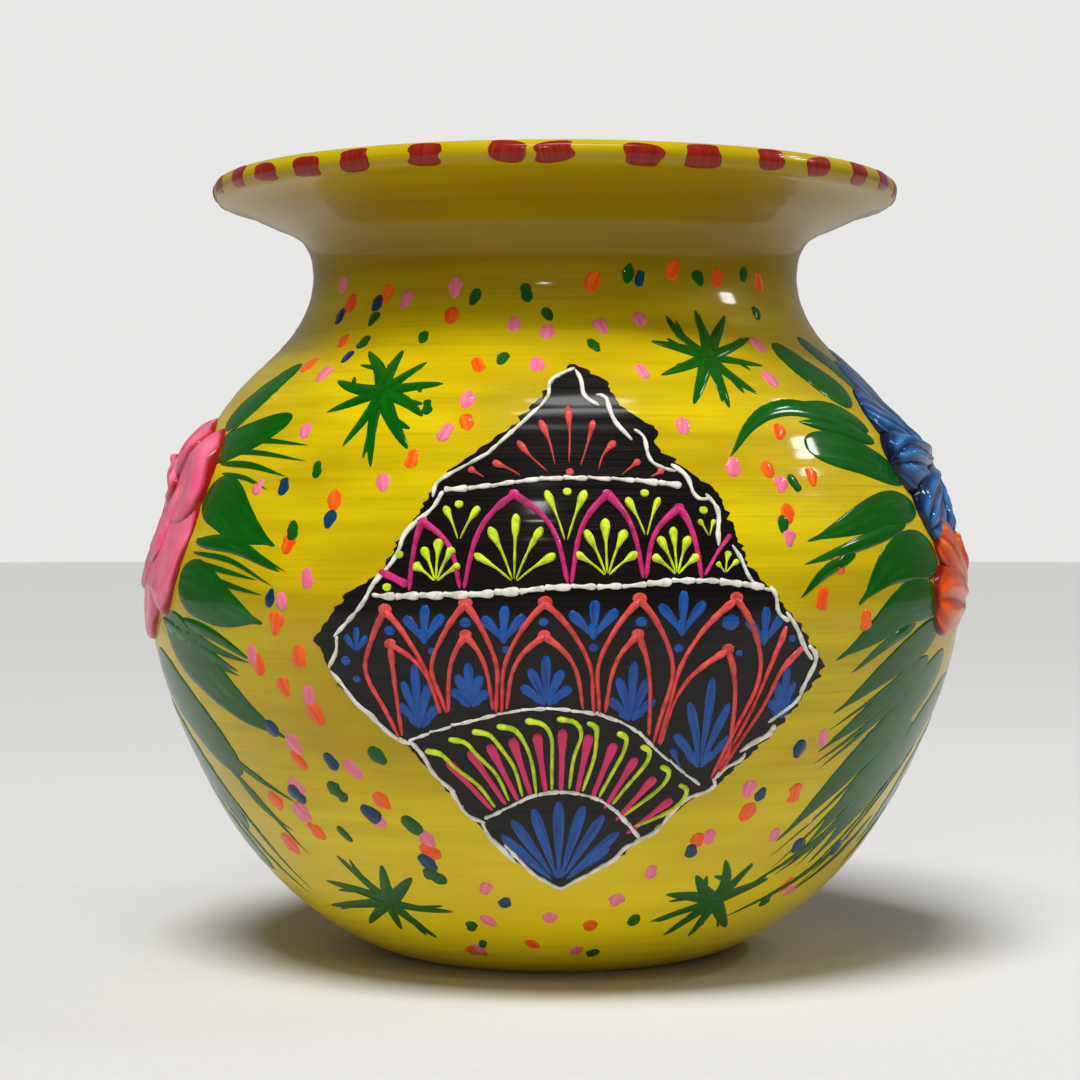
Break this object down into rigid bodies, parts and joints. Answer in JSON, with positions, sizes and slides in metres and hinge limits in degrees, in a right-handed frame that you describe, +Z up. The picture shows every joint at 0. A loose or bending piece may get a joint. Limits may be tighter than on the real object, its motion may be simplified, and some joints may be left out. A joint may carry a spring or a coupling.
{
  "type": "hand-painted clay pot",
  "caption": "Round-bellied clay water pot with a wide flared lip, built of a bowl and a shoulder section, with modelled flowers on both flanks.",
  "frame": {"origin": "centre of the flattened foot, on the surface the pot stands on", "axes": "+Z up along the axis the pot was thrown on; the front with its painted panel faces -Y; +X is to the right when looking at the front"},
  "size_m": [0.2509, 0.244, 0.232],
  "materials": {
    "yellow_clay": "fired clay painted yellow, clear gloss varnish",
    "pink_clay": "modelled clay painted pink, clear gloss varnish",
    "blue_clay": "modelled clay painted blue, clear gloss varnish",
    "orange_clay": "modelled clay painted orange, clear gloss varnish",
    "gold_clay": "modelled clay painted golden yellow, clear gloss varnish"
  },
  "bodies": {
    "root": {"blue_heart": "gold_clay", "blue_petal_1": "blue_clay", "blue_petal_10": "blue_clay", "blue_petal_11": "blue_clay", "blue_petal_12": "blue_clay", "blue_petal_13": "blue_clay", "blue_petal_14": "blue_clay", "blue_petal_2": "blue_clay", "blue_petal_3": "blue_clay", "blue_petal_4": "blue_clay", "blue_petal_5": "blue_clay", "blue_petal_6": "blue_clay", "blue_petal_7": "blue_clay", "blue_petal_8": "blue_clay", "blue_petal_9": "blue_clay", "lower_bowl": "yellow_clay", "orange_heart": "gold_clay", "orange_petal_1": "orange_clay", "orange_petal_2": "orange_clay", "orange_petal_3": "orange_clay", "orange_petal_4": "orange_clay", "orange_petal_5": "orange_clay", "orange_petal_6": "orange_clay", "orange_petal_7": "orange_clay", "orange_petal_8": "orange_clay", "pink_heart": "gold_clay", "pink_inner_1": "pink_clay", "pink_inner_2": "pink_clay", "pink_inner_3": "pink_clay", "pink_inner_4": "pink_clay", "pink_inner_5": "pink_clay", "pink_inner_6": "pink_clay", "pink_outer_1": "pink_clay", "pink_outer_2": "pink_clay", "pink_outer_3": "pink_clay", "pink_outer_4": "pink_clay", "pink_outer_5": "pink_clay", "pink_outer_6": "pink_clay", "pink_outer_7": "pink_clay", "pink_outer_8": "pink_clay", "pink_outer_9": "pink_clay", "upper_shell": "yellow_clay"}
  },
  "joints": []
}
